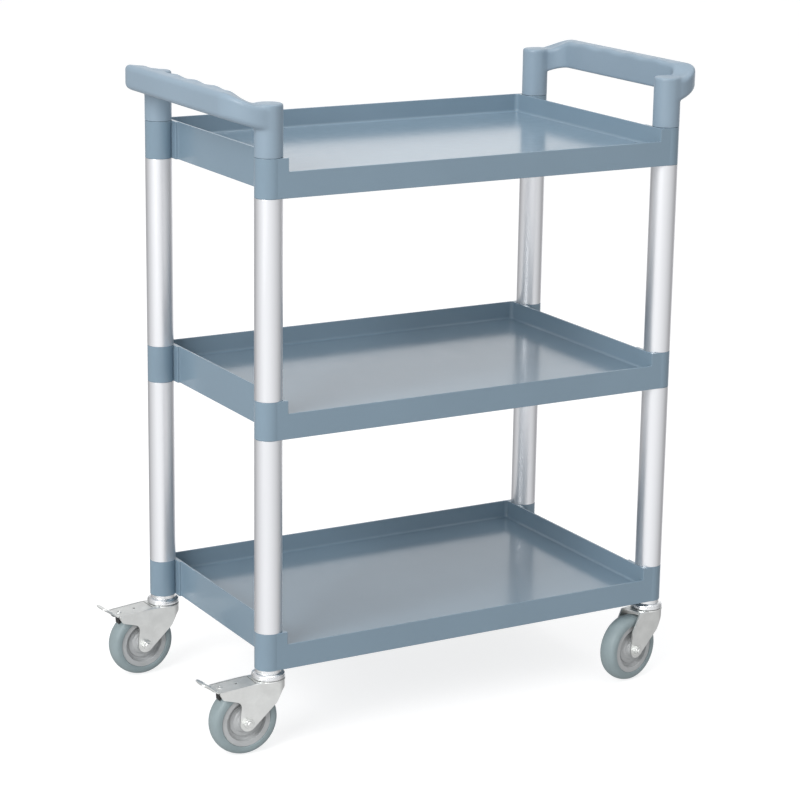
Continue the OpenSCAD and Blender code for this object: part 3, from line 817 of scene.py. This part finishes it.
def pedal():
    """Bent plate with a flared, slightly cupped tip and two ears under it."""
    half_w, back, tip, corner = 15.9, -37.8, 40.0, 7.0
    bend_from, bend_to, slope = 16, 25, 0.78
    low = PLATE_LOW
    along = [back, back + 1.5, -20, -10, 0, 8, 13, 15]
    along += list(np.linspace(16, 33, 16)[1:]) + [33 + corner * math.sin(a)
                                                  for a in np.linspace(0, math.pi / 2, 8)[1:]]
    columns = 25
    bm = bmesh.new()
    rows = []
    for t in along:
        taper = 1.5 * float(ease(np.array((t - 16) / 16.0)))
        half = half_w - taper
        if t > tip - corner:
            half = half - corner + math.sqrt(max(0.0, corner ** 2 - (t - tip + corner) ** 2))
        if t < bend_from:
            rise = 0.0
        elif t < bend_to:
            rise = slope * (t - bend_from) ** 2 / (2 * (bend_to - bend_from))
        else:
            rise = slope * (bend_to - bend_from) / 2 + slope * (t - bend_to)
        cup = float(ease(np.array((t - 17) / 14.0)))
        row = []
        for c in range(columns):
            w = -1 + 2 * c / (columns - 1)
            lift = 3.8 * cup * (abs(w * half) / half_w) ** 2.5
            row.append(bm.verts.new((t, w * half, low + rise + lift)))
        rows.append(row)
    for a, b in zip(rows, rows[1:]):
        for i in range(columns - 1):
            bm.faces.new((a[i], b[i], b[i + 1], a[i + 1]))
    bmesh.ops.recalc_face_normals(bm, faces=bm.faces)
    if sum(f.normal.z for f in bm.faces) < 0:
        bmesh.ops.reverse_faces(bm, faces=bm.faces)
    obj = solid(bm)
    mod = obj.modifiers.new("sheet", "SOLIDIFY")
    mod.thickness = PLATE_T
    mod.offset = 1.0
    settle(obj)
    ear = fillet([(-6.0, low + 0.4)] + arc(0, 0, 4.0, 180, 360, 16) + [(6.0, low + 0.4)], 3)
    for y in (-9.8, 8.0):
        combine(obj, slab(ear, y, y + 1.8), "UNION")
    for x, r in ((RIVET_X, SMALL_HOLE_R), (DIMPLE_X, 1.9)):
        combine(obj, moved(rod(r, 0, 9, 32), shift(x)), "DIFFERENCE")
    combine(obj, moved(rod(2.05, -20, 20, 32), across(0, 0)), "DIFFERENCE")
    cleaned(obj)
    softened(obj, 0.2, 2, 50.0)
    obj.data.transform(on_pedal())
    return obj


def shoe():
    """Rubber block under the plate, hollowed to the tyre's curve."""
    low, back, front, half = PLATE_LOW, 4.0, 13.5, 5.5
    block = slab(fillet([(back, low - 17, 1.0), (front, low - 17, 2.0), (front, low - FIT, 0.8),
                         (back, low - FIT, 0.8)], 4), -half, half)
    obj = solid(moved(block, on_pedal()))
    combine(obj, moved(rod(WHEEL_R + SHOE_GAP, -20, 20, 192), across(TRAIL, AXLE)), "DIFFERENCE")
    combine(obj, moved(rod(SMALL_HOLE_R, low - 5.5, low + 2, 32), on_pedal() @ shift(RIVET_X)),
            "DIFFERENCE")
    cleaned(obj)
    return softened(obj, 0.6, 3, 40.0)


def shoe_rivet():
    low, high = PLATE_LOW, PLATE_LOW + PLATE_T
    dome = [(4.0, high + FIT), (3.85, high + 0.5), (3.3, high + 0.95), (2.6, high + 1.2),
            (2.0, high + 1.1), (1.7, high + 0.7), (1.6, high - 2.4), (0, high - 2.4)]
    profile = [(0, low - 5.5), (1.7, low - 5.5), (2.0, low - 5.1), (2.0, high + FIT)] + dome
    return moved(lathe(profile, 48, closed=False), on_pedal() @ shift(RIVET_X))


def wire(points, radius, sides=10):
    """A round wire along a line of points."""
    bm = bmesh.new()
    rings = []
    side = Vector((0.3, 0.2, 1.0))
    for i, p in enumerate(points):
        a, b = points[max(i - 1, 0)], points[min(i + 1, len(points) - 1)]
        along = (b - a).normalized()
        side = (side - along * side.dot(along)).normalized()
        other = along.cross(side)
        rings.append([bm.verts.new(p + side * radius * math.cos(2 * math.pi * k / sides)
                                   + other * radius * math.sin(2 * math.pi * k / sides))
                      for k in range(sides)])
    for a, b in zip(rings, rings[1:]):
        for k in range(sides):
            bm.faces.new((a[k], a[(k + 1) % sides], b[(k + 1) % sides], b[k]))
    bm.faces.new(rings[0][::-1])
    bm.faces.new(rings[-1])
    bmesh.ops.recalc_face_normals(bm, faces=bm.faces)
    return bm


def brake_spring():
    """Coil round the pin, one leg to the fork's side and one under the plate."""
    coil_r, wire_r, turns, middle = 2.75, 0.4, 4, 11.6
    start, end = 90.0, 32.0 + 360 * (turns - 1)
    steps = 30 * turns
    rear_y = middle + (turns - 1) * wire_r
    front_y = middle - (turns - 1) * wire_r
    back = Vector((PIN_X - 11.0, 0, PIN_H + coil_r))
    points = [back + Vector((0, FORK_IN + 1.0, 0)), back + Vector((0, rear_y + 1.0, 0)),
              back + Vector((0.4, rear_y + 0.2, 0)), back + Vector((1.2, rear_y, 0)),
              back + Vector((6.0, rear_y, 0))]
    for i in range(steps + 1):
        a = math.radians(start - (start + end) * i / steps)
        y = rear_y + (front_y - rear_y) * i / steps
        points.append(Vector((PIN_X + coil_r * math.cos(a), y, PIN_H + coil_r * math.sin(a))))
    last = points[-1]
    run = (last - points[-2]).normalized()
    points.append(last + run * 1.0)
    points.append(Vector((PIN_X + 8.0, front_y, PIN_H + 2.2)))
    return wire(points, wire_r)


def caster(corner, parts):
    """Places copies of the caster's pieces on one corner, turned to its heading in the frame."""
    swivel = JOINTS[corner + "_swivel"]["pos_m"]
    spin = JOINTS[corner + "_spin"]["axis"]
    heading = math.atan2(-spin[0], spin[1])
    place = (shift(swivel[0] / MM, swivel[1] / MM, FLOOR_Z)
             @ Matrix.Rotation(heading, 4, "Z"))
    fixed, wheel, brake = corner + "_caster", corner + "_wheel", corner + "_brake"
    rows = [("race_cap", "frame", "bright_steel"), ("fork", fixed, "zinc_steel"),
            ("axle_bolt", fixed, "zinc_steel"), ("axle_nut", fixed, "zinc_steel"),
            ("hub", wheel, "hub_plastic"), ("tyre", wheel, "tyre_rubber")]
    if brake in frame["bodies"]:
        rows += [("brake_pedal", brake, "zinc_steel"), ("brake_shoe", brake, "shoe_rubber"),
                 ("shoe_rivet", brake, "zinc_steel"), ("brake_spring", fixed, "bright_steel")]
    for part, body, slot in rows:
        key = "braked_fork" if part == "fork" and brake in frame["bodies"] else part
        piece(f"{corner}_{part}_visual", copied(parts[key]), body, slot, [f"{corner}_{part}"],
              place, weigh=part != "brake_spring")


parts = {"race_cap": solid(race_cap()), "fork": fork(False), "braked_fork": fork(True),
         "axle_bolt": solid(axle_bolt()), "axle_nut": solid(axle_nut()),
         "hub": solid(moved(hub(), across(TRAIL, AXLE))),
         "tyre": solid(moved(tyre(), across(TRAIL, AXLE))), "brake_pedal": pedal(), "brake_shoe": shoe(),
         "shoe_rivet": solid(shoe_rivet()), "brake_spring": solid(brake_spring())}
for corner in ("front_left", "back_left", "front_right", "back_right"):
    caster(corner, parts)
for part in parts.values():
    discard(part)

# ------------------------------------------------------------ CAD nodes shown as they are

KEPT = {"_stem": "zinc_steel", "_balls": "bright_steel", "_axle_sleeve": "bright_steel",
        "_brake_pin": "zinc_steel", "stem_sockets": "socket_nylon"}
for name, node in NODES.items():
    for ending, slot in KEPT.items():
        if name.endswith(ending) and not node.hide_render:
            node.data.materials.clear()
            node.data.materials.append(LOOKS[slot])
            node.data.shade_smooth()
            node.data.set_sharp_from_angle(angle=math.radians(35))

# ------------------------------------------------------------ camera, floor and light

AZIMUTH, ELEVATION, ROLL = 29.73, 14.92, 0.84
az, el, roll = (math.radians(a) for a in (AZIMUTH, ELEVATION, ROLL))
forward = Vector((math.sin(az) * math.cos(el), math.cos(az) * math.cos(el), -math.sin(el)))
right = Vector((math.cos(az), -math.sin(az), 0))
up = right.cross(forward)
cam_x = right * math.cos(roll) + up * math.sin(roll)
cam_y = up * math.cos(roll) - right * math.sin(roll)
camera = bpy.data.objects.new("camera", bpy.data.cameras.new("camera"))
bpy.context.scene.collection.objects.link(camera)
camera.data.sensor_width = 36
camera.data.lens = 114.83
camera.matrix_world = (Matrix.Translation((-1.785, -3.102, 0.576))
                       @ Matrix((cam_x, cam_y, -forward)).transposed().to_4x4())
camera.data.clip_end = 60
bpy.context.scene.camera = camera


def plain(name, colour, rough, glow, cast):
    """A pale surface that glows to the camera and casts less light than that on the object.
    Mirror-like reflections and looks from behind pass through it."""
    g = Graph(name)
    g.set(Base_Color=(*colour, 1), Roughness=rough, Specular_IOR_Level=0.1,
          Emission_Color=(1, 1, 1, 1), Emission_Strength=glow)
    seen_by = g.node("ShaderNodeLightPath")
    g.link(g.ramp(seen_by.outputs["Is Camera Ray"], cast, glow, 0, 1),
           g.shader.inputs["Emission Strength"])
    clear = g.node("ShaderNodeBsdfTransparent")
    either = g.node("ShaderNodeMixShader")
    behind = g.node("ShaderNodeNewGeometry")
    hidden = g.node("ShaderNodeMath", operation="MAXIMUM")
    g.link(seen_by.outputs["Is Glossy Ray"], hidden.inputs[0])
    g.link(behind.outputs["Backfacing"], hidden.inputs[1])
    g.link(hidden.outputs[0], either.inputs[0])
    g.link(g.shader.outputs["BSDF"], either.inputs[1])
    g.link(clear.outputs["BSDF"], either.inputs[2])
    g.link(either.outputs["Shader"], g.tree.nodes["Material Output"].inputs["Surface"])
    return g.material


ground = bmesh.new()
bmesh.ops.create_grid(ground, x_segments=1, y_segments=1, size=14)
floor = solid(moved(ground, shift(z=FLOOR_Z * MM)))
floor.name = "floor"
floor.data.materials.append(plain("floor", (0.35, 0.35, 0.35), 0.9, 0.78, 0.25))


AIM = Vector((0, 0, -0.3))      # the middle of the trolley, in metres


def softbox(name, where, size, power):
    light = bpy.data.lights.new(name, "AREA")
    light.shape = "RECTANGLE"
    light.size, light.size_y = size
    light.energy = power
    obj = bpy.data.objects.new(name, light)
    bpy.context.scene.collection.objects.link(obj)
    obj.location = where
    obj.rotation_mode = "QUATERNION"
    obj.rotation_quaternion = (AIM - Vector(where)).to_track_quat("-Z", "Y")


softbox("key", (-4.06, -2.16, 2.2), (2.4, 2.4), 170)
softbox("top", (0.2, -0.4, 3.2), (2.6, 2.0), 38)

# The surroundings: tones that change from the near side of the studio to the bright side, which
# lies beyond the object and a little to the right, and one pale tone overhead. They are dimmer
# to diffuse light than to reflections, and plain white to the camera.
TO_REFLECTIONS = 0.90
TO_DIFFUSE = 0.60
world = bpy.data.worlds.new("studio")
bpy.context.scene.world = world
world.use_nodes = True
tree = world.node_tree
tree.nodes.clear()
coords = tree.nodes.new("ShaderNodeTexCoord")
facing = tree.nodes.new("ShaderNodeVectorMath")
facing.operation = "DOT_PRODUCT"
bright_side = az + math.radians(10)
facing.inputs[1].default_value = (math.sin(bright_side), math.cos(bright_side), 0)
tree.links.new(coords.outputs["Generated"], facing.inputs[0])
to_unit = tree.nodes.new("ShaderNodeMapRange")
to_unit.inputs["From Min"].default_value = -1
tree.links.new(facing.outputs["Value"], to_unit.inputs["Value"])
round_ramp = tree.nodes.new("ShaderNodeValToRGB")
stops = [(0.0, 1.25), (0.2, 1.05), (0.48, 0.80), (0.72, 0.51), (0.86, 0.38), (0.93, 0.85),
         (0.965, 1.3)]
for at, tone in stops:
    e = round_ramp.color_ramp.elements.new(at) if at > 0 else round_ramp.color_ramp.elements[0]
    e.position = at
    e.color = (tone, tone, tone * 1.01, 1)
round_ramp.color_ramp.elements[-1].color = (1.3, 1.3, 1.3, 1)
tree.links.new(to_unit.outputs["Result"], round_ramp.inputs["Fac"])
height = tree.nodes.new("ShaderNodeSeparateXYZ")
tree.links.new(coords.outputs["Generated"], height.inputs["Vector"])
over = tree.nodes.new("ShaderNodeMapRange")
over.inputs["From Min"].default_value = 0.35
over.inputs["From Max"].default_value = 0.8
tree.links.new(height.outputs["Z"], over.inputs["Value"])
sky = tree.nodes.new("ShaderNodeMix")
sky.data_type = "RGBA"
tree.links.new(over.outputs["Result"], sky.inputs["Factor"])
tree.links.new(round_ramp.outputs["Color"], sky.inputs["A"])
sky.inputs["B"].default_value = (0.95, 0.96, 0.98, 1)
studio = tree.nodes.new("ShaderNodeBackground")
tree.links.new(sky.outputs["Result"], studio.inputs["Color"])
seen = tree.nodes.new("ShaderNodeLightPath")
power = tree.nodes.new("ShaderNodeMapRange")
power.inputs["To Min"].default_value = TO_REFLECTIONS
power.inputs["To Max"].default_value = TO_DIFFUSE
tree.links.new(seen.outputs["Is Diffuse Ray"], power.inputs["Value"])
tree.links.new(power.outputs["Result"], studio.inputs["Strength"])
backdrop = tree.nodes.new("ShaderNodeBackground")
backdrop.inputs["Color"].default_value = (1, 1, 1, 1)
choose = tree.nodes.new("ShaderNodeMixShader")
tree.links.new(seen.outputs["Is Camera Ray"], choose.inputs[0])
tree.links.new(studio.outputs["Background"], choose.inputs[1])
tree.links.new(backdrop.outputs["Background"], choose.inputs[2])
out = tree.nodes.new("ShaderNodeOutputWorld")
tree.links.new(choose.outputs["Shader"], out.inputs["Surface"])
bpy.context.scene.view_settings.view_transform = "Standard"
